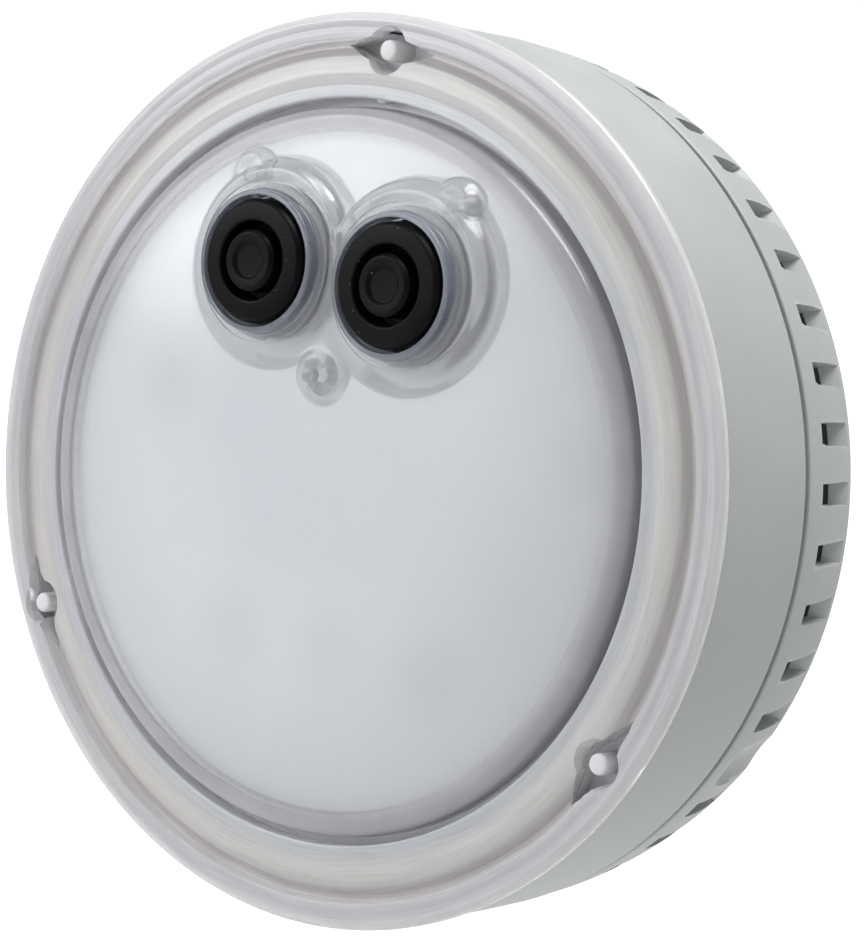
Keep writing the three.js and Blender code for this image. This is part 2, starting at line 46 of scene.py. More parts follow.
FLOOR_HEIGHT, FLOOR_GLOW = -0.3, 0.38
ROOM_WHITE, ROOM_AHEAD, ROOM_BEHIND = 1.05, 0.36, 0.44


def fill(tree, target, inputs):
    """Gives each of a node's inputs its value, or the socket that feeds it."""
    for key, value in inputs.items():
        if isinstance(value, bpy.types.NodeSocket):
            tree.links.new(value, target.inputs[key])
        else:
            target.inputs[key].default_value = value
    return target


def node(tree, kind, inputs=None, **settings):
    """A new node with its settings and its inputs."""
    made = tree.nodes.new(kind)
    for key, value in settings.items():
        setattr(made, key, value)
    return fill(tree, made, inputs or {})


def maths(tree, operation, *values):
    """What a Math node makes of its values."""
    return node(tree, "ShaderNodeMath", dict(enumerate(values)), operation=operation).outputs[0]


def mapped(tree, value, low, high, to_low=0.0, to_high=1.0, **settings):
    """A value between low and high, brought to between to_low and to_high."""
    ends = {"From Min": low, "From Max": high, "To Min": to_low, "To Max": to_high}
    return node(tree, "ShaderNodeMapRange", {"Value": value, **ends}, **settings).outputs[0]


def soft_box(name, place, size, power, aim=Vector((0, -0.03, 0))):
    lamp = bpy.data.lights.new(name, "AREA")
    lamp.shape = "RECTANGLE"
    lamp.size, lamp.size_y = size
    lamp.energy = power
    box = bpy.data.objects.new(name, lamp)
    box.location = place
    box.rotation_euler = (aim - Vector(place)).to_track_quat("-Z", "Y").to_euler()
    bpy.context.scene.collection.objects.link(box)


camera = bpy.data.objects.new("camera", bpy.data.cameras.new("camera"))
camera.data.lens = 112.76
camera.data.sensor_width = 36
camera.data.clip_start = 0.01
aim = Matrix((RIGHT, UP, RIGHT.cross(UP))).transposed()
camera.matrix_world = Matrix.Translation(EYE) @ aim.to_4x4()
bpy.context.scene.collection.objects.link(camera)
bpy.context.scene.camera = camera
bpy.context.scene.view_settings.view_transform = "Standard"

soft_box("top_soft_box", (0.2, 0.1, 0.9), (0.7, 0.5), 11)
soft_box("left_soft_box", (-0.7, -0.8, 0.45), (0.7, 0.9), 9)

room = bpy.data.worlds.new("white_room")
bpy.context.scene.world = room
room.use_nodes = True
sky = room.node_tree
sky.nodes.clear()
direction = node(sky, "ShaderNodeTexCoord").outputs["Generated"]
depth = node(sky, "ShaderNodeSeparateXYZ", {"Vector": direction}).outputs["Y"]
level = mapped(sky, depth, -0.9, 0.5, ROOM_AHEAD, ROOM_BEHIND)
seen = node(sky, "ShaderNodeLightPath").outputs["Is Camera Ray"]
shown = maths(sky, "MAXIMUM", level, maths(sky, "MULTIPLY", seen, ROOM_WHITE))
glow = node(sky, "ShaderNodeBackground", {"Color": (0.98, 0.99, 1, 1), "Strength": shown})
node(sky, "ShaderNodeOutputWorld", {"Surface": glow.outputs["Background"]})

floor_mesh = bpy.data.meshes.new("floor")
floor_shape = bmesh.new()
bmesh.ops.create_circle(floor_shape, cap_ends=True, segments=64, radius=40,
                        matrix=Matrix.Translation((0, 0, FLOOR_HEIGHT)))
floor_shape.to_mesh(floor_mesh)
floor = bpy.data.objects.new("floor", floor_mesh)
bpy.context.scene.collection.objects.link(floor)
paper = bpy.data.materials.new("floor_paper")
paper.use_nodes = True
sheet = paper.node_tree
fibre = node(sheet, "ShaderNodeTexNoise", {"Scale": 60, "Detail": 4}).outputs["Fac"]
to_camera = node(sheet, "ShaderNodeLightPath").outputs["Is Camera Ray"]
fill(sheet, sheet.nodes["Principled BSDF"], {
    "Base Color": mapped(sheet, fibre, 0, 1, 0.5, 0.54), "Roughness": 0.9, "Emission Color": (1, 1, 1, 1),
    "Emission Strength": maths(sheet, "MAXIMUM", to_camera, FLOOR_GLOW)})
floor_mesh.materials.append(paper)

# ---- Base ring: light-grey moulded ring that screws onto the outlet's sleeve ----
# Its wall curves in towards the rear, with a ramped drain slot every 7.5 degrees and three finger
# notches. A bayonet lip holds the lamp; a threaded collar and a gasket groove are at the rear.
MM = 0.001
ROUND = 360
SLOTS = 48
THIRDS = (90, 210, 330)
SLOT_FRONT, SLOT_END, SLOT_WIDTH, RAMP_START = -11.3, -1.8, 2.65, -4.9
NOTCH_WIDTH, NOTCH_START, NOTCH_LENGTH, NOTCH_LIP = 7.4, -12.4, 13.2, 0.3
NOTCH_FLOOR, NOTCH_FLOOR_START, NOTCH_SLOPE, NOTCH_RUN_IN = 56.7, -8.5, 0.1, 0.11
BASE_RADIUS, BASE_FRONT, BASE_INNER, WALL_CURVE, WALL_STRAIGHT = 58.5, -15, 55.5, 46, 0.4
THREAD_ROOT, THREAD_CREST = 42.2, 41
TWIST = 26
FULL_BEND, LARGE_FACE = 2.5, 3  # radians per mm that count as sharp, and mm


def soften(corners, steps=6):
    """An outline's corners, each (radius, place) or (radius, place, rounding), as points with arcs."""
    points = []
    for i, corner in enumerate(corners):
        here = Vector(corner[:2])
        if len(corner) == 2:
            points.append(tuple(here))
            continue
        back = Vector(corners[i - 1][:2]) - here
        on = Vector(corners[(i + 1) % len(corners)][:2]) - here
        half = back.angle(on) / 2
        reach = min(corner[2] / tan(half), 0.49 * min(back.length, on.length))
        back.normalize()
        on.normalize()
        centre = here + (back + on).normalized() * reach / cos(half)
        first, last = here + back * reach - centre, here + on * reach - centre
        sweep = atan2(first.cross(last), first.dot(last))
        for k in range(steps + 1):
            turned_by = Matrix.Rotation(sweep * k / steps, 2)
            points.append(tuple(centre + turned_by @ first))
    return points


def turned(outline, segments=ROUND, centre=(0, 0)):
    """A closed mesh turned about the light's axis, or about a line beside it, from (radius, y) in mm."""
    shape = bmesh.new()
    rows = []
    for radius, y in outline:
        if radius < 1e-6:
            rows.append([shape.verts.new((centre[0] * MM, y * MM, centre[1] * MM))] * segments)
            continue
        rows.append([shape.verts.new(((centre[0] + radius * cos(2 * pi * k / segments)) * MM, y * MM,
                                      (centre[1] + radius * sin(2 * pi * k / segments)) * MM))
                     for k in range(segments)])
    for row, following in zip(rows, rows[1:] + rows[:1]):
        for k in range(segments):
            corners = (row[k], row[k - 1], following[k - 1], following[k])
            corners = list(dict.fromkeys(corners))
            if len(corners) > 2:
                shape.faces.new(corners)
    return closed(shape)


def closed(shape):
    """Ends a shape's building: its faces point out, and it becomes a mesh."""
    bmesh.ops.recalc_face_normals(shape, faces=shape.faces)
    mesh = bpy.data.meshes.new("shape")
    shape.to_mesh(mesh)
    shape.free()
    return mesh


def prism(outline, front, back):
    """A closed mesh from an outline of (x, z) in mm, from y = front to y = back."""
    shape = bmesh.new()
    rows = [[shape.verts.new((x * MM, y * MM, z * MM)) for x, z in outline] for y in (front, back)]
    for k in range(len(outline)):
        shape.faces.new((rows[0][k], rows[0][k - 1], rows[1][k - 1], rows[1][k]))
    shape.faces.new(rows[0])
    shape.faces.new(list(reversed(rows[1])))
    return closed(shape)


def evaluated(obj):
    """A plain mesh of what an object's modifiers give; the object goes."""
    mesh = bpy.data.meshes.new_from_object(obj.evaluated_get(bpy.context.evaluated_depsgraph_get()))
    bpy.data.objects.remove(obj)
    return mesh


def held(mesh, name="work"):
    obj = bpy.data.objects.new(name, mesh)
    bpy.context.scene.collection.objects.link(obj)
    return obj


def joined(mesh, others, operation="UNION"):
    """A mesh with others joined to it, or cut from it."""
    work = held(mesh)
    tools = [held(other, "tool") for other in others]
    for tool in tools:
        step = work.modifiers.new("step", "BOOLEAN")
        step.operation, step.solver, step.object = operation, "MANIFOLD", tool
    result = evaluated(work)
    for tool in tools:
        bpy.data.objects.remove(tool)
    return result


def cut(mesh, others):
    return joined(mesh, others, "DIFFERENCE")


def mark_edges(mesh):
    """Writes how sharply each face's corners stand out, from 0 to 1, as the attribute that wear follows.

    A large face has none, because its corners' wear would spread right across it."""
    shape = bmesh.new()
    shape.from_mesh(mesh)
    sharpness = []
    for vertex in shape.verts:
        bends = [edge.calc_face_angle_signed(0) / max(edge.calc_length() / MM, 0.15)
                 for edge in vertex.link_edges]
        sharpness.append(min(max(max(bends, default=0), 0) / FULL_BEND, 1))
    at_corners = []
    for face in shape.faces:
        small = max(edge.calc_length() for edge in face.edges) < LARGE_FACE * MM
        at_corners.extend(sharpness[corner.index] if small else 0 for corner in face.verts)
    shape.free()
    mesh.attributes.new("edge", "FLOAT", "CORNER").data.foreach_set("value", at_corners)


def finished(name, mesh, material, body, slot, *nodes, sharp=35):
    """A finished piece: smooth but for its sharp edges, riding on its body in place of CAD nodes."""
    mesh.name = name
    mesh.materials.clear()
    mesh.materials.append(material)
    mesh.shade_smooth()
    mesh.set_sharp_from_angle(angle=radians(sharp))
    mark_edges(mesh)
    piece = held(mesh, name)
    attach(piece, body)
    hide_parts(*nodes)
    return piece


def sockets(tree, way, kinds):
    """Gives a tree its named inputs or outputs."""
    for label, kind in kinds.items():
        tree.interface.new_socket(label, in_out=way, socket_type=f"NodeSocket{kind}")


def new_group(name, inputs, outputs):
    """A shader node group with named inputs, each a value or a colour, and named outputs."""
    tree = bpy.data.node_groups.new(name, "ShaderNodeTree")
    for label, value in inputs.items():
        kind = "NodeSocketColor" if isinstance(value, tuple) else "NodeSocketFloat"
        tree.interface.new_socket(label, in_out="INPUT", socket_type=kind).default_value = value
    sockets(tree, "OUTPUT", outputs)
    place = node(tree, "ShaderNodeTexCoord").outputs["Object"]
    return tree, tree.nodes.new("NodeGroupInput").outputs, tree.nodes.new("NodeGroupOutput"), place


def noise(tree, place, scale, detail, **more):
    """Cloudy noise at a point, from 0 to 1."""
    inputs = {"Vector": place, "Scale": scale, "Detail": detail, **more}
    return node(tree, "ShaderNodeTexNoise", inputs).outputs["Fac"]


def mixed(tree, share, first, second, blend="MIX"):
    """A colour between two others, or one multiplied by the other."""
    inputs = {0: share, 6: first, 7: second}
    return node(tree, "ShaderNodeMix", inputs, data_type="RGBA", blend_type=blend).outputs[2]


PLAIN = (1.0,) * 4
COLOUR_AND_MASK = {"Color": "Color", "Mask": "Float"}


def grain_group():
    """Fine spark-eroded mould grain over a slower unevenness: a height for a Bump node."""
    tree, given, out, place = new_group("mould_grain", {"Scale": 2200.0, "Unevenness": 0.3},
                                        {"Height": "Float"})
    fine = noise(tree, place, given["Scale"], 3.0)
    uneven = maths(tree, "MULTIPLY", noise(tree, place, 90.0, 2.0), given["Unevenness"])
    fill(tree, out, {"Height": maths(tree, "ADD", fine, uneven)})
    return tree


def mottle_group():
    """Slow drifts between two close colours, as moulded plastic and rubber have."""
    colours = {"Color": PLAIN, "Second Color": PLAIN}
    tree, given, out, place = new_group("mottle", {**colours, "Scale": 60.0}, COLOUR_AND_MASK)
    mask = mapped(tree, noise(tree, place, given["Scale"], 5.0, Roughness=0.6), 0.35, 0.65)
    fill(tree, out, {"Color": mixed(tree, mask, given["Color"], given["Second Color"]), "Mask": mask})
    return tree


def wear_group():
    """Paler or shinier along the edges that hands and walls rub, broken up by noise."""
    colours = {"Color": PLAIN, "Worn Color": PLAIN}
    tree, given, out, place = new_group("edge_wear", {**colours, "Amount": 0.5}, COLOUR_AND_MASK)
    edge = node(tree, "ShaderNodeAttribute", attribute_name="edge").outputs["Fac"]
    rubbed = mapped(tree, noise(tree, place, 380.0, 3.0), 0.3, 0.6)
    mask = maths(tree, "MULTIPLY", maths(tree, "MULTIPLY", edge, rubbed), given["Amount"])
    fill(tree, out, {"Color": mixed(tree, mask, given["Color"], given["Worn Color"]), "Mask": mask})
    return tree


def dust_group():
    """Sparse pale specks that settle on the surface."""
    tree, given, out, place = new_group("dust", {"Color": PLAIN, "Amount": 0.3, "Scale": 900.0},
                                        COLOUR_AND_MASK)
    specks = node(tree, "ShaderNodeTexVoronoi", {"Vector": place, "Scale": given["Scale"]})
    near = mapped(tree, specks.outputs["Distance"], 0.16, 0.05)
    patches = mapped(tree, noise(tree, place, 70.0, 3.0), 0.52, 0.62)
    mask = maths(tree, "MULTIPLY", maths(tree, "MULTIPLY", near, patches), given["Amount"])
    fill(tree, out, {"Color": mixed(tree, mask, given["Color"], (0.75, 0.75, 0.73, 1.0)), "Mask": mask})
    return tree


GRAIN, MOTTLE, WEAR, DUST = grain_group(), mottle_group(), wear_group(), dust_group()


def surface(name, colour, second, rough, worn=None, wear=0.0, dust=0.0, grain=0.25, grain_scale=2200.0,
            unevenness=0.3, mottle_scale=60.0, plain=None):
    """A material: mottled colour, worn edges, dust and mould grain, with its plain sockets set directly."""
    material = bpy.data.materials.new(name)
    material.use_nodes = True
    tree = material.node_tree
    shader = tree.nodes["Principled BSDF"]
    mottle = node(tree, "ShaderNodeGroup", {"Color": (*colour, 1), "Second Color": (*second, 1),
                                            "Scale": mottle_scale}, node_tree=MOTTLE)
    coloured = mottle.outputs["Color"]
    if wear:
        rubbed = {"Color": coloured, "Worn Color": (*(worn or second), 1), "Amount": wear}
        coloured = node(tree, "ShaderNodeGroup", rubbed, node_tree=WEAR).outputs["Color"]
    if dust:
        dusty = {"Color": coloured, "Amount": dust}
        coloured = node(tree, "ShaderNodeGroup", dusty, node_tree=DUST).outputs["Color"]
    skin = node(tree, "ShaderNodeGroup", {"Scale": grain_scale, "Unevenness": unevenness}, node_tree=GRAIN)
    bump = node(tree, "ShaderNodeBump", {"Height": skin.outputs["Height"], "Strength": grain,
                                         "Distance": 0.0001})
    fill(tree, shader, {**(plain or {}), "Base Color": coloured, "Normal": bump.outputs["Normal"],
                        "Roughness": mapped(tree, mottle.outputs["Mask"], 0, 1, *rough)})
    return material


grey_plastic = surface("grey_plastic", (0.375, 0.392, 0.39), (0.395, 0.412, 0.41), (0.4, 0.5),
                       worn=(0.66, 0.68, 0.67), wear=0.5, dust=0.25, grain=0.3)


def arc_sector(inner, outer, middle, width, steps=24):
    """The outline of a sector of a flat ring, in (x, z)."""
    angles = [radians(middle - width / 2 + width * k / steps) for k in range(steps + 1)]
    return ([(outer * cos(a), outer * sin(a)) for a in angles]
            + [(inner * cos(a), inner * sin(a)) for a in reversed(angles)])


def wall_at(y):
    """The radius of the base ring's outside."""
    return BASE_RADIUS - max(y - BASE_FRONT - WALL_STRAIGHT, 0) ** 2 / (2 * WALL_CURVE)


def side_cutter(side, half_width, flare=0.0, mouth=0.3):
    """A cutter on the +X side from its side view in (radius, y), whose sides part towards the rear.

    Its walls lean out by mouth where they pass the base ring's outside, so the slot's rim is rounded."""
    shape = bmesh.new()
    rows = []
    front, back = min(y for _, y in side), max(y for _, y in side)
    for way in (-1, 1):
        row = []
        for radius, y in side:
            share = (y - front) / (back - front)
            width = half_width + flare * share + (mouth if radius > BASE_RADIUS else 0)
            row.append(shape.verts.new((radius * MM, y * MM, way * width * MM)))
        rows.append(row)
    for k in range(len(side)):
        shape.faces.new((rows[0][k], rows[0][k - 1], rows[1][k - 1], rows[1][k]))
    shape.faces.new(rows[0])
    shape.faces.new(list(reversed(rows[1])))
    bmesh.ops.triangulate(shape, faces=shape.faces)
    return closed(shape)


def scoop_cutter(rows=28, columns=17, above=62):
    """A cutter for a finger notch on the +X side: a hollow that deepens from its front to its floor."""
    shape = bmesh.new()
    grid = []
    for i in range(rows):
        y = NOTCH_START + NOTCH_LENGTH * i / (rows - 1)
        run_in = max(0, NOTCH_FLOOR_START - y) ** 2 * NOTCH_RUN_IN
        floor_radius = NOTCH_FLOOR - NOTCH_SLOPE * (y - NOTCH_FLOOR_START) + run_in
        rise = wall_at(y) + NOTCH_LIP - floor_radius
        line = []
        for j in range(columns):
            z = NOTCH_WIDTH * 0.62 * (2 * j / (columns - 1) - 1)
            low = min(floor_radius + rise * (2 * z / (NOTCH_WIDTH + 2 * NOTCH_LIP)) ** 2, above - 1)
            line.append([shape.verts.new((radius * MM, y * MM, z * MM)) for radius in (low, above)])
        grid.append(line)
    for i in range(rows - 1):
        for j in range(columns - 1):
            patch = ((i, j), (i, j + 1), (i + 1, j + 1), (i + 1, j))
            for level in (0, 1):
                shape.faces.new([grid[a][b][level] for a, b in patch])
    border = [(0, j) for j in range(columns)] + [(i, columns - 1) for i in range(1, rows)]
    border += [(rows - 1, j) for j in range(columns - 2, -1, -1)] + [(i, 0) for i in range(rows - 2, 0, -1)]
    for k, (i, j) in enumerate(border):
        m, n = border[k - 1]
        shape.faces.new((grid[i][j][0], grid[m][n][0], grid[m][n][1], grid[i][j][1]))
    bmesh.ops.triangulate(shape, faces=shape.faces)
    return closed(shape)


def ended(tree, geometry, material):
    """Ends a tree: its instances become real, and take their material."""
    real = node(tree, "GeometryNodeRealizeInstances", {"Geometry": geometry}).outputs[0]
    painted = node(tree, "GeometryNodeSetMaterial", {"Geometry": real, "Material": material}).outputs[0]
    node(tree, "NodeGroupOutput", {0: painted})
    return tree


def slotting_tree():
    """Geometry nodes that cut slots and notches round a wall: one cutter of each, turned about Y."""
    tree = bpy.data.node_groups.new("slotted_wall", "GeometryNodeTree")
    sockets(tree, "INPUT", {"Wall": "Geometry", "Slot Cutter": "Object", "Notch Cutter": "Object",
                            "Slots": "Int", "Notches": "Int", "First Notch": "Float",
                            "Material": "Material"})
    sockets(tree, "OUTPUT", {"Wall": "Geometry"})
    given = tree.nodes.new("NodeGroupInput").outputs
    index = node(tree, "GeometryNodeInputIndex").outputs[0]

    def round_the_axis(cutter, count, first, chosen):
        step = maths(tree, "DIVIDE", -2 * pi, count)
        angle = maths(tree, "MULTIPLY_ADD", index, step, first)
        turn = node(tree, "ShaderNodeCombineXYZ", {"Y": angle}).outputs[0]
        points = node(tree, "GeometryNodePoints", {"Count": count}).outputs[0]
        shape = node(tree, "GeometryNodeObjectInfo", {"Object": cutter}).outputs["Geometry"]
        copies = node(tree, "GeometryNodeInstanceOnPoints", {
            "Points": points, "Instance": shape, "Rotation": turn, "Selection": chosen}).outputs[0]
        return node(tree, "GeometryNodeRealizeInstances", {"Geometry": copies}).outputs[0]

    # A slot is left out wherever a notch takes its place.
    spacing = maths(tree, "DIVIDE", given["Slots"], given["Notches"])
    first_share = maths(tree, "DIVIDE", given["First Notch"], 2 * pi)
    offset = maths(tree, "ADD", index, maths(tree, "MULTIPLY", first_share, given["Slots"]))
    wanted = maths(tree, "GREATER_THAN", maths(tree, "FLOORED_MODULO", offset, spacing), 0.5)
    slots = round_the_axis(given["Slot Cutter"], given["Slots"], 0.0, wanted)
    notches = round_the_axis(given["Notch Cutter"], given["Notches"], given["First Notch"], True)
    opened = node(tree, "GeometryNodeMeshBoolean", {"Mesh 1": given["Wall"]}, operation="DIFFERENCE",
                  solver="MANIFOLD")
    tree.links.new(slots, opened.inputs["Mesh 2"])
    tree.links.new(notches, opened.inputs["Mesh 2"])
    return ended(tree, opened.outputs[0], given["Material"])


def shaped(mesh, tree, values):
    """A mesh after a geometry node tree, whose inputs are set by their sockets' identifiers."""
    work = held(mesh)
    step = work.modifiers.new("nodes", "NODES")
    step.node_group = tree
    for socket in tree.interface.items_tree:
        if socket.in_out == "INPUT" and socket.name in values:
            step[socket.identifier] = values[socket.name]
    return evaluated(work)


lip = [(BASE_INNER, -13, 0.2), (52, -13, 0.3), (52, BASE_FRONT, 0.3)]
tooth = ((THREAD_ROOT, 1.2), (THREAD_CREST, 0), (THREAD_ROOT, -1.2))
thread = [(radius, y + step, 0.15) for y in (-2.4, -6.2) for radius, step in tooth]
wall = [(wall_at(y), y) for y in (-13, -11.5, -10, -8.5, -7, -5.5, -4, -2.5, -1.6)]
base_outline = soften(lip + [
    (BASE_RADIUS - 1.2, BASE_FRONT, 0.1), (BASE_RADIUS - 1.2, BASE_FRONT + 0.3, 0.1),
    (BASE_RADIUS, BASE_FRONT + 0.3, 0.3), *wall, (wall_at(0), 0, 1.1), (51.5, 0, 0.2), (51.5, -1.5, 0.2),
    (46.8, -1.5, 0.2), (46.8, 0, 0.2), (THREAD_ROOT, 0, 0.4), *thread, (THREAD_ROOT, -9, 0.4),
    (45.2, -9, 0.4), (45.2, -3.5, 0.5), (BASE_INNER, -3.5, 0.5)])
bayonet_gaps = [prism(arc_sector(50, BASE_INNER, middle + TWIST, 24), BASE_FRONT - 1, -12.8)
                for middle in THIRDS]
outside = wall_at(SLOT_END)
slot_side = soften([
    (62, SLOT_FRONT - 0.2), (BASE_RADIUS, SLOT_FRONT, 0.3), (54.5, SLOT_FRONT), (54.5, RAMP_START),
    (BASE_INNER, RAMP_START, 0.3), (outside + 0.15, SLOT_END, 0.1), (62, SLOT_END + 0.2)], 3)
slot_cutter = held(side_cutter(slot_side, SLOT_WIDTH / 2, 0.15, 0.2), "slot_cutter")
notch_cutter = held(scoop_cutter(), "notch_cutter")
base_mesh = shaped(cut(turned(base_outline), bayonet_gaps), slotting_tree(), {
    "Slot Cutter": slot_cutter, "Notch Cutter": notch_cutter, "Slots": SLOTS, "Notches": len(THIRDS),
    "First Notch": -radians(THIRDS[0]), "Material": grey_plastic})
bpy.data.objects.remove(slot_cutter)
bpy.data.objects.remove(notch_cutter)
finished("base_ring_moulding", base_mesh, grey_plastic, "base", "grey_plastic", "base_ring")

# ---- Base gasket: a flat black rubber ring pressed into the groove in the base ring's rear ----
# It seals nothing electrical; it keeps the ring from creeping on the wall.
seal_rubber = surface("seal_rubber", (0.02, 0.02, 0.022), (0.035, 0.035, 0.037), (0.55, 0.75),
                      dust=0.5, grain=0.5, grain_scale=1500)
gasket_outline = soften([(47.1, -1.2, 0.15), (51.2, -1.2, 0.15), (51.2, -0.2, 0.3), (47.1, -0.2, 0.3)])
finished("base_gasket_ring", turned(gasket_outline), seal_rubber, "base", "seal_rubber", "base_gasket")

# ---- Main housing: the light-grey cup wall, moulded with a ledge for the lens and its O-ring ----
# The rear edge is rounded, and a thin line is left between it and the base ring.
LENS_PLANE = -34.5
HOUSING_RADIUS, HOUSING_REAR = 58.7, -15.3
LEDGE_FRONT, LEDGE_BACK = LENS_PLANE + 3.3, LENS_PLANE + 6.8
GAP = 0.3
housing_outline = soften([
    (HOUSING_RADIUS, LENS_PLANE + GAP, 0.25), (HOUSING_RADIUS, HOUSING_REAR - 1.2, 0.8),
    (HOUSING_RADIUS - 0.35, HOUSING_REAR - 0.3, 0.1), (57.3, HOUSING_REAR - 0.1, 0.1),
    (56, HOUSING_REAR, 0.2), (56, LEDGE_BACK, 0.3), (50, LEDGE_BACK, 0.3), (50, LEDGE_FRONT, 0.3),
    (51.6, LEDGE_FRONT, 0.15),
    (51.6, LEDGE_FRONT + 1.9, 0.15), (54.4, LEDGE_FRONT + 1.9, 0.15), (54.4, LEDGE_FRONT, 0.15),
    (56.8, LEDGE_FRONT, 0.15), (56.8, LENS_PLANE + GAP, 0.2)])
finished("main_housing_shell", turned(housing_outline), grey_plastic, "lamp", "grey_plastic", "main_housing")
o_ring = soften([(radius, LENS_PLANE + depth, 0.8)
                 for radius, depth in ((52.15, 3.2), (53.85, 3.2), (53.85, 4.9), (52.15, 4.9))], 5)
finished("lens_o_ring", turned(o_ring, 240), seal_rubber, "lamp", "seal_rubber", "lens_seal")

# ---- Rear housing: back plate, bayonet skirt with three lugs, and the drum that holds the cells ----
# Light-grey moulding welded into the main housing; the outlet's sleeve passes round the drum.
PLATE_FRONT, SKIRT_REAR, DRUM_REAR = -17.8, -10.4, -5.5
BAY_WIDTH, BAY_HEIGHT, BAY_FLOOR = 50.6, 33.6, -17.3
POST_CIRCLE, POST_ANGLES = 44, (30, 150, 270)
POST_WIDTH, POST_BORE, COVER_SCREW_BORE = 2.6, 1.3, 1.45
COVER_SCREW_ANGLES = (70, 110, 250, 290)
COVER_SCREW_CIRCLE = 31


def around(radius, angles):
    return [(radius * cos(radians(a)), radius * sin(radians(a))) for a in angles]


def bar(radius, front, back, place=(0, 0), rounding=0.0, segments=48):
    """A round bar along Y, with both its ends' edges rounded."""
    corners = [(0, front), (radius, front, rounding), (radius, back, rounding), (0, back)]
    return turned(soften(corners, 4) if rounding else [c[:2] for c in corners], segments, place)


def rectangle(width, height, corner, steps=6):
    """The outline of a rounded rectangle, in (x, z)."""
    w, h = width / 2, height / 2
    return soften([(-w, -h, corner), (w, -h, corner), (w, h, corner), (-w, h, corner)], steps)


cover_screws = around(COVER_SCREW_CIRCLE, COVER_SCREW_ANGLES)
rear_outline = soften([
    (0, -8), (32, -8), (32, PLATE_FRONT), (55.7, PLATE_FRONT, 0.3), (55.7, HOUSING_REAR, 0.2),
    (50.5, HOUSING_REAR, 0.4), (50.5, SKIRT_REAR, 0.3), (48, SKIRT_REAR, 0.3), (48, HOUSING_REAR, 0.4),
    (34.5, HOUSING_REAR, 0.8), (34.5, DRUM_REAR, 0.4), (0, DRUM_REAR)])
lugs = [prism(arc_sector(50, 54.6, middle, 20), -12.6, SKIRT_REAR) for middle in THIRDS]
post_places = around(POST_CIRCLE, POST_ANGLES)
posts = [bar(POST_WIDTH, LENS_PLANE + 11.8, PLATE_FRONT + 0.3, place, segments=32) for place in post_places]
bosses = [bar(POST_WIDTH, -14, -6, place, segments=32) for place in cover_screws]
bay_walls = prism(rectangle(54, 37, 1.5), BAY_FLOOR - 2, DRUM_REAR - 0.01)
seal_seat = cut(prism(rectangle(55.6, 38.6, 4.5), DRUM_REAR - 1, DRUM_REAR + 1),
                [prism(rectangle(52.6, 35.6, 3), DRUM_REAR - 2, DRUM_REAR + 2)])
rear_mesh = joined(turned(rear_outline, 240), [bay_walls, *lugs, *posts, *bosses])
rear_mesh = cut(rear_mesh, [
    prism(rectangle(BAY_WIDTH, BAY_HEIGHT, 0.8), BAY_FLOOR, 0), seal_seat,
    *[bar(POST_BORE, LENS_PLANE + 11, -18.5, place, segments=24) for place in post_places],
    *[bar(COVER_SCREW_BORE, -13, 0, place, segments=24) for place in cover_screws]])
finished("rear_housing_moulding", rear_mesh, grey_plastic, "lamp", "grey_plastic", "rear_housing")

# ---- Battery cover: a grey disc with two grip ribs, a seal under it and four screws ----
# The screws are stainless, with a cross recess, and sit in counterbores over the drum's bosses.
COVER_FRONT, COVER_REAR, COVER_RADIUS = -5.2, -2.8, 34.2
COUNTERBORE, CLEARANCE = 2.7, 1.5
GRIP_PLACES, GRIP_REAR = (-5, 5), -1.2
cover_disc = turned(soften([(0, COVER_FRONT), (COVER_RADIUS, COVER_FRONT, 0.2),
                            (COVER_RADIUS, COVER_REAR, 0.7), (0, COVER_REAR)]), 240)
grips = [prism([(x, z + rib) for x, z in rectangle(30, 3, 1.4)], COVER_REAR - 0.3, GRIP_REAR)
         for rib in GRIP_PLACES]
recesses = [bar(COUNTERBORE, COVER_REAR - 1.3, 0, place, segments=40) for place in cover_screws]
holes = [bar(CLEARANCE, COVER_FRONT - 1, 0, place, segments=24) for place in cover_screws]
cover_mesh = cut(joined(cover_disc, grips), recesses + holes)
finished("battery_cover_disc", cover_mesh, grey_plastic, "lamp", "grey_plastic", "battery_cover")

screw_steel = surface("screw_steel", (0.5, 0.51, 0.53), (0.62, 0.63, 0.64), (0.22, 0.4), worn=(0.8, 0.8, 0.8),
                      wear=0.6, dust=0.2, grain=0.25, grain_scale=5000, plain={"Metallic": 1.0})


def screw_mesh(head, shank, head_top, head_under, tip, pitch=0.7):
    """A pan-head screw along Y with a cross recess; head_top faces whichever way its shank doesn't."""
    way = 1 if tip > head_under else -1
    core = shank * 0.82
    flank = []
    for k in range(int(abs(tip - head_under) / pitch)):
        start = head_under + way * (0.2 + k * pitch)
        flank += [(core, start), (shank, start + way * pitch * 0.5)]
    corners = [(0, head_top), (head, head_top, 0.35), (head, head_under, 0.1), (core, head_under), *flank,
               (shank * 0.6, tip), (0, tip)]
    body = turned(soften(corners, 4), 32)
    slit = [rectangle(head * 1.25, head * 0.3, 0.1, 2), rectangle(head * 0.3, head * 1.25, 0.1, 2)]
    depth = sorted((head_top - way * 0.5, head_top + way * abs(head_under - head_top) * 0.6))
    return cut(body, [prism(outline, *depth) for outline in slit])


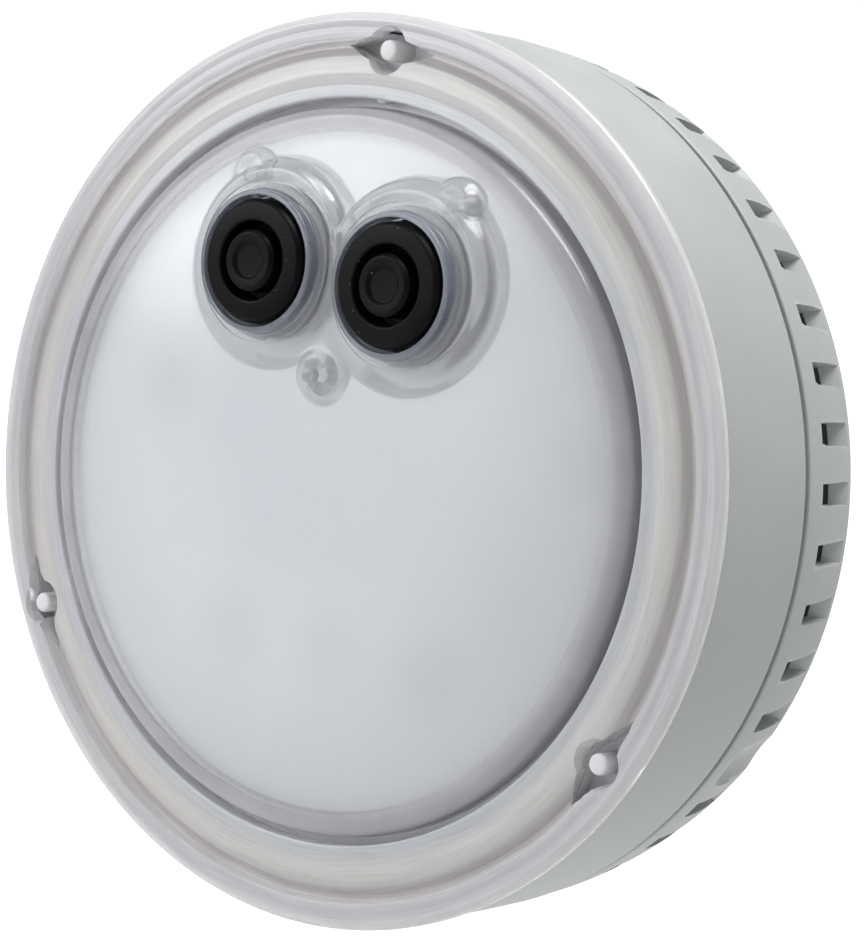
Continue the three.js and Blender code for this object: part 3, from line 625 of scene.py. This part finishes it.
def fixing_tree():
    """Geometry nodes that set one screw at each point of a mesh."""
    tree = bpy.data.node_groups.new("screws_at_points", "GeometryNodeTree")
    sockets(tree, "INPUT", {"Places": "Geometry", "Screw": "Object", "Size": "Float", "Seed": "Int",
                            "Material": "Material"})
    sockets(tree, "OUTPUT", {"Screws": "Geometry"})
    given = tree.nodes.new("NodeGroupInput").outputs
    shape = node(tree, "GeometryNodeObjectInfo", {"Object": given["Screw"]}).outputs["Geometry"]
    angle = node(tree, "FunctionNodeRandomValue", {2: 0.0, 3: pi, "Seed": given["Seed"]}).outputs[1]
    turn = node(tree, "ShaderNodeCombineXYZ", {"Y": angle}).outputs[0]
    copies = node(tree, "GeometryNodeInstanceOnPoints", {"Points": given["Places"], "Instance": shape,
                                                         "Rotation": turn, "Scale": given["Size"]}).outputs[0]
    return ended(tree, copies, given["Material"])


SCREW_TREE = fixing_tree()


def screws(name, mesh, places, seed, *nodes):
    """One piece holding a screw at each (x, z), in place of the CAD nodes."""
    spots = bpy.data.meshes.new("spots")
    spots.from_pydata([(x * MM, 0, z * MM) for x, z in places], [], [])
    pattern = held(mesh, "screw_pattern")
    made = shaped(spots, SCREW_TREE, {"Screw": pattern, "Size": 1.0, "Seed": seed, "Material": screw_steel})
    bpy.data.objects.remove(pattern)
    return finished(name, made, screw_steel, "lamp", "screw_steel", *nodes)


def numbered(stem, count):
    return [f"{stem}_{i + 1}" for i in range(count)]


screws("battery_cover_screws", screw_mesh(2.3, 1.1, -2.9, -3.8, -10), cover_screws, 3,
       *numbered("battery_cover_screw", 4))


def kept(material, *nodes):
    """CAD nodes whose shape is right: they stay, with a better material."""
    for name in nodes:
        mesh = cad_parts[name].data
        mesh.materials.clear()
        mesh.materials.append(material)


kept(seal_rubber, "battery_cover_seal")

# ---- Cells: three AAA cells side by side, with a spring and a strip at each end of the bay ----
# The jackets are plain printed sleeves over steel cans; springs and strips are nickel-plated.
contact_metal = surface("contact_metal", (0.62, 0.6, 0.55), (0.75, 0.73, 0.68), (0.15, 0.35), grain=0.2,
                        grain_scale=4000, plain={"Metallic": 1.0})
kept(contact_metal, *numbered("contact_spring", 3), "contact_strip_left", "contact_strip_right")
cell_jacket = surface("cell_jacket", (0.03, 0.09, 0.2), (0.04, 0.12, 0.26), (0.25, 0.4), dust=0.2,
                      plain={"Coat Weight": 0.4})
BAND_START = 0.012


def reopened(material, label="Base Color"):
    """A material's tree and shader, what feeds the shader's socket now, and a point's place."""
    tree = material.node_tree
    shader = tree.nodes["Principled BSDF"]
    place = node(tree, "ShaderNodeTexCoord").outputs["Object"]
    return tree, shader, shader.inputs[label].links[0].from_socket, place


cells, jacket_shader, jacket_colour, jacket_place = reopened(cell_jacket)
along = node(cells, "ShaderNodeSeparateXYZ", {0: jacket_place}).outputs["X"]
band = maths(cells, "GREATER_THAN", along, BAND_START)
fill(cells, jacket_shader, {"Base Color": mixed(cells, band, jacket_colour, (0.55, 0.55, 0.52, 1))})
kept(cell_jacket, *numbered("battery", 3))

# ---- LED board, switch board and leads: glass-fibre boards with white solder mask ----
# Tracks show as a faint relief under the mask. The five lamps are clear domed LEDs.
solder_mask = surface("solder_mask", (0.74, 0.77, 0.73), (0.8, 0.82, 0.79), (0.3, 0.4), grain=0.5,
                      plain={"Coat Weight": 0.3})
board, mask_shader, mask_normal, board_place = reopened(solder_mask, "Normal")
white, black = (1, 1, 1, 1), (0, 0, 0, 1)
tracks = node(board, "ShaderNodeTexBrick", {
    "Vector": board_place, "Scale": 220.0, "Mortar Size": 0.05, "Color1": white, "Color2": white,
    "Mortar": black}).outputs["Color"]
relief = node(board, "ShaderNodeBump", {"Height": tracks, "Strength": 0.4, "Distance": 0.00005,
                                        "Normal": mask_normal})
fill(board, mask_shader, {"Normal": relief.outputs["Normal"]})
kept(solder_mask, "led_board", "switch_board")
kept(screw_steel, *numbered("led_board_screw", 3), *numbered("clamp_plate_screw", 3),
     *numbered("switch_board_screw", 2))
lamp_resin = surface("lamp_resin", (0.8, 0.82, 0.78), (0.88, 0.89, 0.84), (0.08, 0.16), grain=0.05,
                     plain={"Coat Weight": 0.5})
kept(lamp_resin, *numbered("led", 5))
for name, first, second, node_name in (
        ("red_wire", (0.4, 0.02, 0.02), (0.5, 0.04, 0.03), "battery_lead_red"),
        ("black_wire", (0.015, 0.015, 0.015), (0.03, 0.03, 0.03), "battery_lead_black"),
        ("white_wire", (0.75, 0.75, 0.72), (0.82, 0.82, 0.8), "switch_lead")):
    kept(surface(name, first, second, (0.4, 0.5), grain=0.3), node_name)

# ---- Reflector, clamp plate and switches: moulded pieces behind the lens ----
# The reflector is gloss white; the clamp plate holds the boots; each switch has a white plunger.
white_plastic = surface("white_plastic", (0.78, 0.79, 0.79), (0.85, 0.86, 0.86), (0.3, 0.42), grain=0.2)
switch_plastic = surface("switch_plastic", (0.02, 0.02, 0.02), (0.035, 0.035, 0.035), (0.35, 0.5),
                         grain=0.4)
kept(white_plastic, "reflector", "button_clamp_plate", "power_switch_plunger", "color_switch_plunger")
kept(switch_plastic, "power_switch", "color_switch")

# ---- Diffuser: a milky dome just inside the lens, cut away round the buttons ----
# Moulded in white-filled plastic. The lamps behind it show only as soft, darker spots, and its rim is greyer
# than its middle: both are painted shade in its colour. It also carries a faint painted glow.
DOME_PEAK, DOME_RADIUS, LENS_THICKNESS = 7.4, 279, 2.4
DIFFUSER_RADIUS, DIFFUSER_INNER, DIFFUSER_SKIRT = 43.6, 42.7, -5.2
DIFFUSER_GAP, DIFFUSER_WALL = 0.4, 1.6
BUTTONS = ((-11, 25.5), (11, 25.5))
POSTS = ((-16.5, 36.3), (16.5, 36.3), (0, 12.5))
LAMPS = ((-33, 8), (-16, -22), (0, -22), (16, -22), (33, 8))


def ahead(outline):
    """Points given as (radius, distance ahead of the lens plane), as (radius, y)."""
    return [(corner[0], LENS_PLANE - corner[1], *corner[2:]) for corner in outline]


def dome(radius):
    return DOME_PEAK - radius ** 2 / (2 * DOME_RADIUS)


def dome_row(first, last, depth, steps=10):
    """Points down the dome's curve, at a depth under its surface."""
    radii = [first + (last - first) * k / steps for k in range(steps + 1)]
    return [(radius, dome(radius) - depth) for radius in radii]


BUTTON_WINDOW, POST_WINDOW, LOW_WINDOW = 14, 3, 4
front_row, back_row = LENS_THICKNESS + DIFFUSER_GAP, LENS_THICKNESS + DIFFUSER_WALL
diffuser_outline = ahead(dome_row(0, DIFFUSER_RADIUS - 0.3, front_row) + [
    (DIFFUSER_RADIUS, dome(DIFFUSER_RADIUS) - front_row - 0.2), (DIFFUSER_RADIUS, DIFFUSER_SKIRT),
    (DIFFUSER_INNER, DIFFUSER_SKIRT)] + dome_row(DIFFUSER_INNER, 0, back_row))
through = (LENS_PLANE - 8, LENS_PLANE + 0.3)
window = [bar(BUTTON_WINDOW, *through, place, segments=96) for place in BUTTONS]
window += [bar(POST_WINDOW, *through, place, segments=48) for place in POSTS[:2]]
window += [bar(LOW_WINDOW, *through, POSTS[2], segments=48)]
window += [prism([BUTTONS[0], (-LOW_WINDOW, POSTS[2][1]), (LOW_WINDOW, POSTS[2][1]), BUTTONS[1]], *through)]
milky_plastic = surface("milky_plastic", (0.93, 0.955, 0.98), (0.96, 0.98, 0.99), (0.5, 0.6), grain=0.1,
                        mottle_scale=24.0)
milk, milk_shader, milk_colour, milk_place = reopened(milky_plastic)
SPOT_SHIFT, SPOT_DEPTH, RIM_DEPTH = 6, 0.2, 0.5
PAINTED_GLOW = 0.12  # painted glow: the milky plastic shines faintly, though no lamp is lit


def apart_from(tree, place, centre):
    """How far a place is from a centre."""
    return node(tree, "ShaderNodeVectorMath", {0: place, 1: centre}, operation="DISTANCE").outputs["Value"]


def across_axis(tree, place):
    """A place without its part along the light's axis."""
    return node(tree, "ShaderNodeVectorMath", {0: place, 1: (1, 0, 1)}, operation="MULTIPLY").outputs[0]


# Painted shade: a soft darker spot for each lamp behind the milky plastic, set 6 mm off towards +X.
shadow = None
for x, z in LAMPS:
    apart = apart_from(milk, milk_place, ((x + SPOT_SHIFT) * MM, (LENS_PLANE - 3) * MM, z * MM))
    spot = mapped(milk, apart, 0.001, 0.0085, 1.0, 0.0, interpolation_type="SMOOTHSTEP")
    shadow = spot if shadow is None else maths(milk, "MAXIMUM", shadow, spot)
shaded = mixed(milk, maths(milk, "MULTIPLY", shadow, SPOT_DEPTH), milk_colour, (0.42, 0.44, 0.45, 1))
# Painted shade: the rim is greyer than the middle.
from_middle = apart_from(milk, across_axis(milk, milk_place), (-0.006, 0, 0.008))
rim_shade = mapped(milk, from_middle, 0.026, 0.052, 0.0, RIM_DEPTH, interpolation_type="SMOOTHSTEP")
milk_seen = mixed(milk, rim_shade, shaded, (0.5, 0.49, 0.5, 1))
# The colour, painted shade included, also glows faintly as painted light.
fill(milk, milk_shader, {"Base Color": milk_seen, "Emission Color": milk_seen,
                         "Emission Strength": PAINTED_GLOW})
finished("diffuser_dome", cut(turned(diffuser_outline, 240), window), milky_plastic, "lamp", "milky_plastic",
         "diffuser")

# ---- Front lens: one clear moulding, with the dome, the button boss, its posts and three pins ----
# Polycarbonate, polished on its dome. The boss rises in a figure 8 round both buttons, with a
# collar round each hole, lobes over its screw posts, and a gate nub on the lowest.
WINDOW_RADIUS, DRUM_RADIUS, DRUM_INNER, FLANGE_RADIUS = 44.2, 46.8, 44.6, 56.5
BOSS_RADIUS, BOSS_FRONT, COLLAR_RADIUS, COLLAR_FRONT = 13.2, 7.4, 9.2, 9.1
BUTTON_HOLE, PIN_RADIUS, PIN_CIRCLE = 8.5, 1.35, 54.3
BOOT_SEAT, POST_RADIUS, POST_HOLE, NUB_RADIUS = 10.15, 2.4, 1.15, 0.85
LOBES = ((POSTS[0], 3.2, 0.9, 6.2), (POSTS[1], 3.2, 0.9, 6.2), (POSTS[2], 3.0, 0.7, 7.6))
PIN_ROOT = LENS_PLANE + 2.4  # the pins stand in pockets sunk into the flange
FIELD_RADIUS, FIELD_CENTRE = 43.9, Vector((0, 25.5))


def smooth_step(value, low, high):
    share = min(max((value - low) / (high - low), 0), 1)
    return share * share * (3 - 2 * share)


def lobe(point, centre, radius, edge, height):
    """How far a rounded lobe stands over the dome at a point, in mm."""
    apart = hypot(point[0] - centre[0], point[1] - centre[1])
    base = dome(hypot(*point))
    return max(height - base, 0) * (1 - smooth_step(apart, radius - edge, radius + edge))


def smooth_max(a, b, blend=0.25):
    return 0.5 * (a + b + sqrt((a - b) ** 2 + blend ** 2)) - 0.5 * blend


def lens_height(point):
    """The lens's front surface, ahead of the lens plane, at (x, z)."""
    boss = smooth_max(*[lobe(point, place, BOSS_RADIUS - 0.3, 1.1, BOSS_FRONT) for place in BUTTONS], 0.8)
    for post_lobe in LOBES:
        boss = smooth_max(boss, lobe(point, *post_lobe))
    return dome(hypot(*point)) + max(boss, 0)


def lens_body(rays=320, fine_steps=92, coarse_steps=26, fine_reach=27):
    """The lens without its holes: a field of heights round the boss, then turned rows to the flange."""
    shape = bmesh.new()
    rim = ahead(soften([
        (WINDOW_RADIUS - 1.5, dome(WINDOW_RADIUS - 1.5)), (DRUM_RADIUS, dome(DRUM_RADIUS) + 0.1, 2.6),
        (DRUM_RADIUS, -GAP, 0.3), (FLANGE_RADIUS, -GAP, 0.3), (FLANGE_RADIUS, -2.8, 0.2),
        (DRUM_INNER, -2.8, 0.3), (DRUM_INNER, dome(DRUM_INNER) - LENS_THICKNESS, 1.2),
        (42, dome(42) - LENS_THICKNESS)], 8)[1:])
    rim = [corner for corner in rim if corner[0] > FIELD_RADIUS or corner[1] > LENS_PLANE]
    rim += ahead(dome_row(40, 2, LENS_THICKNESS, 12))
    middle = shape.verts.new((0, (LENS_PLANE - lens_height(FIELD_CENTRE)) * MM, FIELD_CENTRE.y * MM))
    under = shape.verts.new((0, (LENS_PLANE - dome(0) + LENS_THICKNESS) * MM, 0))
    columns = []
    for k in range(rays):
        way = Vector((cos(2 * pi * k / rays), sin(2 * pi * k / rays)))
        along = FIELD_CENTRE.dot(way)
        reach = -along + sqrt(along ** 2 + FIELD_RADIUS ** 2 - FIELD_CENTRE.length_squared)
        fine = min(fine_reach, 0.85 * reach)
        steps = [fine * (i + 1) / fine_steps for i in range(fine_steps)]
        steps += [fine + (reach - fine) * (i + 1) / coarse_steps for i in range(coarse_steps)]
        column = []
        for distance in steps:
            point = FIELD_CENTRE + way * distance
            y = LENS_PLANE - lens_height(point)
            column.append(shape.verts.new((point.x * MM, y * MM, point.y * MM)))
        outward = (FIELD_CENTRE + way * reach).normalized()
        for radius, y in rim:
            column.append(shape.verts.new((outward.x * radius * MM, y * MM, outward.y * radius * MM)))
        columns.append(column)
    for column, following in zip(columns, columns[1:] + columns[:1]):
        shape.faces.new((middle, column[0], following[0]))
        for i in range(len(column) - 1):
            shape.faces.new((column[i], column[i + 1], following[i + 1], following[i]))
        shape.faces.new((under, following[-1], column[-1]))
    return closed(shape)


def collar(place):
    """The raised ring round a button's hole, flared where it meets the boss."""
    corners = [(0, 5), (10.5, 5), (10.5, BOSS_FRONT - 0.02), (COLLAR_RADIUS, BOSS_FRONT - 0.02, 0.45),
               (COLLAR_RADIUS, COLLAR_FRONT, 0.35), (0, COLLAR_FRONT)]
    return turned(ahead(soften(corners, 5)), 128, place)


def pocket(angle, back=LENS_PLANE + 1, half_length=7, half_height=1.8):
    """The pin's pocket: a flared round hole, drawn out into two points along the groove."""
    place = around(PIN_CIRCLE, (angle,))[0]
    front = LENS_PLANE - 3
    bowl = soften([(0, back), (2.6, back, 0.5), (2.75, LENS_PLANE - 1, 1), (3.6, front), (0, front)], 5)
    across, up = cos(radians(angle - 90)), sin(radians(angle - 90))
    outline = []
    for side in (1, -1):
        for k in range(24):
            share = 2 * k / 24 - 1
            x, z = side * share * half_length, side * half_height * (1 - share ** 2) ** 1.3
            outline.append((place[0] + x * across - z * up, place[1] + x * up + z * across))
    return joined(turned(bowl, 64, place), [prism(outline, front - 0.001, back + 0.001)])


lens_mesh = joined(lens_body(), [
    *[collar(place) for place in BUTTONS],
    *[bar(POST_RADIUS, LENS_PLANE - 5, LENS_PLANE - 2, place, 0.2, 40) for place in POSTS],
    bar(NUB_RADIUS, LENS_PLANE - 9.1, LENS_PLANE - 6, POSTS[2], 0.25, 32)])
lens_mesh = cut(lens_mesh, [
    *[pocket(angle, PIN_ROOT) for angle in THIRDS],
    *[bar(BUTTON_HOLE, LENS_PLANE - 10, LENS_PLANE - 2, place, segments=128) for place in BUTTONS],
    *[bar(BOOT_SEAT, LENS_PLANE - 4.4, LENS_PLANE, place, segments=128) for place in BUTTONS],
    *[bar(POST_HOLE, LENS_PLANE - 5.2, LENS_PLANE - 1, place, segments=24) for place in POSTS]])
lens_mesh = joined(lens_mesh, [bar(PIN_RADIUS, LENS_PLANE - 1.8, PIN_ROOT + 0.2, place, 0.45, 40)
                               for place in around(PIN_CIRCLE, THIRDS)])


def clear_plastic(name, tint, second, rough, transmission, grain, **more):
    """Clear polycarbonate: light passes through it, and its surface is polished or frosted."""
    return surface(name, tint, second, rough, grain=grain,
                   plain={"Transmission Weight": transmission, "IOR": 1.5}, **more)


lens_clear = clear_plastic("lens_clear", (0.92, 0.94, 0.965), (0.945, 0.96, 0.98), (0.14, 0.22), 0.78,
                           0.03, unevenness=0.6, mottle_scale=30.0)
finished("front_lens_moulding", lens_mesh, lens_clear, "lamp", "clear_plastic", "front_lens")

# The flange and its pins keep the mould's dull finish. The walls round the buttons carry painted shade, a
# dark tint that stands for the black boots seen through them, and the window's shoulder a painted grey shade.
for name, first, second, rough, transmission, grain in (
        ("mould_clear", (0.9, 0.91, 0.93), (0.95, 0.95, 0.96), (0.3, 0.45), 0.35, 0.3),
        ("collar_painted_shade", (0.24, 0.26, 0.32), (0.36, 0.39, 0.45), (0.12, 0.25), 0.6, 0.02),
        ("shoulder_painted_shade", (0.56, 0.55, 0.6), (0.66, 0.65, 0.7), (0.15, 0.25), 0.5, 0.05)):
    lens_mesh.materials.append(clear_plastic(name, first, second, rough, transmission, grain))
MOULD, COLLAR, SHOULDER = 1, 2, 3
for face in lens_mesh.polygons:
    from_button = min(hypot(face.center.x - x * MM, face.center.z - z * MM) for x, z in BUTTONS)
    from_axis = hypot(face.center.x, face.center.z)
    if from_axis > (DRUM_RADIUS + 0.3) * MM:
        face.material_index = MOULD
    elif from_button < (COLLAR_RADIUS + 0.15) * MM:
        face.material_index = COLLAR
    elif from_axis > FIELD_RADIUS * MM:
        face.material_index = SHOULDER

# ---- Retaining ring: clear, lightly frosted ring that the lens's three pins hold ----
# A groove runs round it through the three eye-shaped pockets, and a moulding pip is left inside it.
RING_RADIUS = 59
BANDS_FROM, BANDS_TO, BAND_WANDER = 0.0486, 0.0596, 0.0012
STREAKS_ACROSS, STREAKS_ROUND = 2600.0, 5.0
ring_outline = soften(ahead([
    (48, 0, 0.15), (48, 2.25, 0.3), (48.9, 2.15, 0.5), (49.6, 2.05, 0.5), (51.2, 2.15, 1.5),
    (53.3, 1.75, 1.2), (54.4, 0.8, 0.35), (55.1, 0.8, 0.25), (55.5, 1.95, 0.2), (56.3, 1.95, 0.3),
    (57, 1.8, 0.5), (58, 1.9, 0.5), (RING_RADIUS, 1, 0.7), (RING_RADIUS, 0.1, 0.15), (58.6, 0, 0.1)]))
pip = bar(1.2, LENS_PLANE - 1.7, LENS_PLANE - 0.1, (0, 48.7), 0.3, 32)
ring_mesh = cut(joined(turned(ring_outline), [pip]), [pocket(angle) for angle in THIRDS])
ring_clear = clear_plastic("ring_clear", (0.9, 0.905, 0.92), (0.93, 0.93, 0.93), (0.18, 0.26), 0.5, 0.1,
                           unevenness=0.4, mottle_scale=25.0)

# Painted light in bands by radius, with fine streaks: each land gets the tint that light running through the
# clear ring gives it, the groove a painted dark shade and the lips painted highlights.
tint, ring_shader, ring_colour, tint_place = reopened(ring_clear)
tint_radius = node(tint, "ShaderNodeVectorMath", {0: across_axis(tint, tint_place)},
                   operation="LENGTH").outputs["Value"]
wandering = maths(tint, "MULTIPLY_ADD", noise(tint, tint_place, 90.0, 3.0), BAND_WANDER, tint_radius)
bands = node(tint, "ShaderNodeValToRGB", {"Fac": mapped(tint, wandering, BANDS_FROM, BANDS_TO)})
x_y_z = node(tint, "ShaderNodeSeparateXYZ", {"Vector": tint_place}).outputs
turn_slow = maths(tint, "MULTIPLY", maths(tint, "ARCTAN2", x_y_z["Z"], x_y_z["X"]), STREAKS_ROUND)
out_fine = maths(tint, "MULTIPLY", wandering, STREAKS_ACROSS)
along_ring = node(tint, "ShaderNodeCombineXYZ", {"X": out_fine, "Y": turn_slow}).outputs[0]
streaks = mapped(tint, noise(tint, along_ring, 1.0, 4.0), 0.3, 0.7, 0.9, 1.03)
PAINTED_LIGHT_BANDS = ((0.0, (0.96, 0.97, 1.0)), (0.05, (0.8, 0.83, 0.88)), (0.13, (0.84, 0.85, 0.87)),
         (0.25, (0.97, 0.95, 0.93)), (0.4, (0.88, 0.86, 0.83)), (0.52, (0.72, 0.7, 0.69)),
         (0.6, (0.8, 0.75, 0.74)), (0.67, (0.93, 0.92, 0.93)), (0.78, (0.82, 0.81, 0.85)),
         (0.85, (0.86, 0.85, 0.88)), (0.92, (1.0, 0.99, 1.0)))
while len(bands.color_ramp.elements) < len(PAINTED_LIGHT_BANDS):
    bands.color_ramp.elements.new(0.5)
for stop, (share, colour) in zip(bands.color_ramp.elements, PAINTED_LIGHT_BANDS):
    stop.position = share
    stop.color = (*colour, 1)
light_banded = mixed(tint, 1.0, ring_colour, bands.outputs["Color"], "MULTIPLY")
fill(tint, ring_shader, {"Base Color": mixed(tint, 1.0, light_banded, streaks, "MULTIPLY")})
finished("retaining_ring_moulding", ring_mesh, ring_clear, "lamp", "clear_plastic", "retaining_ring")

# ---- Buttons: two matt black silicone boots, each with a cap that presses a switch behind it ----
# A boot has a rounded rim and a deep groove; the cap is dished and moves 1.2 mm.
boot_rubber = surface("boot_rubber", (0.002, 0.002, 0.003), (0.004, 0.004, 0.005), (0.3, 0.45), dust=0.12,
                      grain=0.35, grain_scale=2600, plain={"Specular IOR Level": 0.08})
boot_outline = soften(ahead([
    (5.1, 9.8, 0.35), (7.5, 9.6, 0.4), (7.95, 8.9, 0.5), (8.0, 7.6, 0.2), (8.15, 4.1, 0.2), (9.8, 4.1, 0.2),
    (9.8, 2, 0.2), (4.6, 2, 0.2), (4.6, 5, 0.2), (2.6, 5, 0.1), (2.6, 5.8, 0.2), (5.15, 5.8, 0.3)]), 8)
cap_outline = soften(ahead([
    (0, 9.95), (2.1, 9.95, 0.3), (2.55, 10.35, 0.3), (3.55, 10.4, 0.3), (3.95, 9.9, 0.25), (4.07, 7.4, 0.2),
    (2.2, 7.4, 0.2), (2.2, 0.4, 0.2), (0, 0.4)]), 6)
for colour, place in zip(("power", "color"), BUTTONS):
    finished(f"{colour}_boot_moulding", turned(boot_outline, 128, place), boot_rubber, "lamp", "boot_rubber",
             f"{colour}_button_boot")
    finished(f"{colour}_cap_moulding", turned(cap_outline, 96, place), boot_rubber, f"{colour}_button",
             "boot_rubber", f"{colour}_button_cap")
